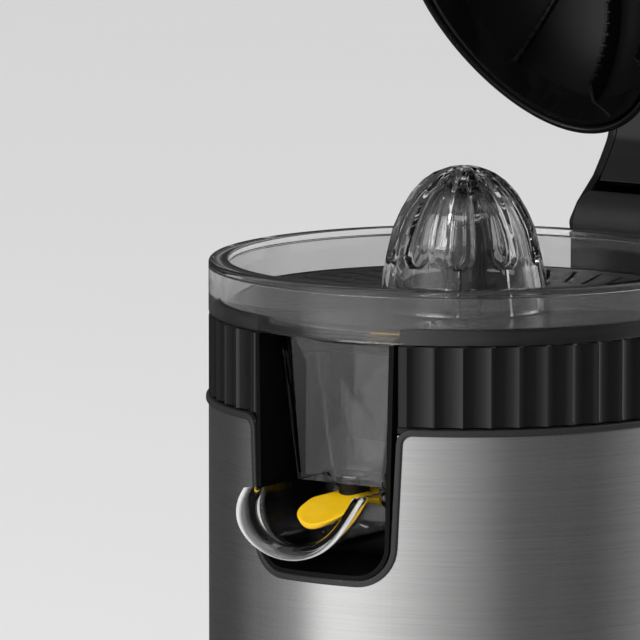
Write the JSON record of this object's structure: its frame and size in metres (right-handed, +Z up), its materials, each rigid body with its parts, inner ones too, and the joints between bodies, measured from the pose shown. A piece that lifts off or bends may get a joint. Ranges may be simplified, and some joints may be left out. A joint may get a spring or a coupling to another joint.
{
  "type": "citrus press juicer",
  "caption": "Electric citrus press: brushed steel drum with a fluted black band, clear juice bowl, ribbed reamer, front spout with a drip-stop tongue and a hinged press arm.",
  "frame": {"origin": "middle of the box's underside, on the plane the feet stand on", "axes": "+Z up along the drum's axis; -Y towards the spout; +Y towards the arm's hinge; +X to the right seen from the front"},
  "size_m": [0.19, 0.2742, 0.4331],
  "materials": {
    "satin_black": "satin",
    "gloss_black": "gloss",
    "brushed_steel": "brushed around",
    "rubber": "matte",
    "smoke": "clear gloss",
    "clear": "clear gloss",
    "yellow": "satin",
    "nylon": "moulded",
    "bright_metal": "bright",
    "motor_steel": "plain"
  },
  "bodies": {
    "base": {"base_tray": "satin_black", "foot_1": "rubber", "foot_2": "rubber", "foot_3": "rubber", "foot_4": "rubber", "base_screw_1": "bright_metal", "base_screw_2": "bright_metal", "base_screw_3": "bright_metal", "base_screw_4": "bright_metal", "steel_shell": "brushed_steel", "trim_ring": "satin_black", "fluted_band": "gloss_black", "motor_deck": "satin_black", "case_screw_1": "bright_metal", "case_screw_2": "bright_metal", "case_screw_3": "bright_metal", "bay_liner": "gloss_black", "hinge_tower": "satin_black", "tower_screw_1": "bright_metal", "tower_screw_2": "bright_metal", "hinge_pin": "bright_metal", "hinge_spring": "bright_metal", "motor_can": "motor_steel", "motor_end_cap": "nylon", "gear_case_lower": "satin_black", "gear_case_upper": "satin_black", "idler_axle": "bright_metal", "micro_switch": "satin_black", "spindle_seal": "rubber", "cord_gland": "rubber", "press_spring": "bright_metal"},
    "rotor": {"motor_shaft": "bright_metal", "rotor_core": "motor_steel"},
    "idler": {"idler_gear": "nylon"},
    "output": {"output_gear": "nylon"},
    "sleeve": {"thrust_sleeve": "nylon"},
    "drive_spindle": {"spindle": "bright_metal"},
    "switch_plunger": {"switch_button": "nylon"},
    "bowl": {"juice_bowl": "smoke", "spout": "clear", "drip_pin": "bright_metal"},
    "drip_stop": {"drip_lever": "yellow", "drip_seal": "rubber"},
    "pulp_strainer": {"strainer": "smoke"},
    "lemon_reamer": {"small_cone": "smoke"},
    "orange_reamer": {"large_cone": "smoke"},
    "arm": {"arm_body": "gloss_black", "arm_liner": "gloss_black", "arm_grip": "satin_black", "head_shell": "gloss_black", "press_cup": "gloss_black", "head_screw_1": "bright_metal", "head_screw_2": "bright_metal"}
  },
  "joints": [
    {"name": "arm_hinge", "type": "hinge", "parent": "base", "child": "arm", "pos_m": [0, 0.08592, 0.23], "axis": [-1, 0, 0], "range_deg": [-57, 0], "stiffness_Nm_per_rad": 0.3, "springref_deg": 91.67},
    {"name": "bowl_lift", "type": "slide", "parent": "base", "child": "bowl", "axis": [0, 0, 1], "range_m": [0, 0.03]},
    {"name": "strainer_lift", "type": "slide", "parent": "bowl", "child": "pulp_strainer", "axis": [0, 0, 1], "range_m": [0, 0.012]},
    {"name": "lemon_reamer_spin", "type": "hinge", "parent": "pulp_strainer", "child": "lemon_reamer", "pos_m": [0, -0.02408, 0.214], "axis": [0, 0, 1], "continuous": true},
    {"name": "orange_reamer_lift", "type": "slide", "parent": "lemon_reamer", "child": "orange_reamer", "axis": [0, 0, 1], "range_m": [0, 0.015]},
    {"name": "drip_lever_tilt", "type": "hinge", "parent": "bowl", "child": "drip_stop", "pos_m": [0, -0.08808, 0.1495], "axis": [1, 0, 0], "range_deg": [0, 8]},
    {"name": "motor_spin", "type": "hinge", "parent": "base", "child": "rotor", "pos_m": [0, -0.02408, 0.09], "axis": [0, 0, 1], "continuous": true},
    {"name": "idler_spin", "type": "hinge", "parent": "base", "child": "idler", "pos_m": [0, 0.00592, 0.135], "axis": [0, 0, 1], "continuous": true},
    {"name": "output_spin", "type": "hinge", "parent": "base", "child": "output", "pos_m": [0, -0.02408, 0.14], "axis": [0, 0, 1], "continuous": true},
    {"name": "spindle_press", "type": "slide", "parent": "base", "child": "sleeve", "axis": [0, 0, 1], "range_m": [-0.0025, 0], "stiffness_N_per_m": 2000, "springref_m": 0.0015, "deforming": ["press_spring"]},
    {"name": "spindle_spin", "type": "hinge", "parent": "sleeve", "child": "drive_spindle", "pos_m": [0, -0.02408, 0.19], "axis": [0, 0, 1], "continuous": true},
    {"name": "switch_travel", "type": "slide", "parent": "base", "child": "switch_plunger", "axis": [0, 0, 1], "range_m": [-0.0025, 0], "stiffness_N_per_m": 300, "springref_m": 0.0005}
  ],
  "couplings": [
    {"joint": "idler_spin", "follows": "motor_spin", "ratio": -0.33333},
    {"joint": "output_spin", "follows": "motor_spin", "ratio": 0.11111},
    {"joint": "spindle_spin", "follows": "motor_spin", "ratio": 0.11111},
    {"joint": "lemon_reamer_spin", "follows": "motor_spin", "ratio": 0.11111},
    {"joint": "switch_travel", "follows": "spindle_press", "ratio": 1}
  ]
}
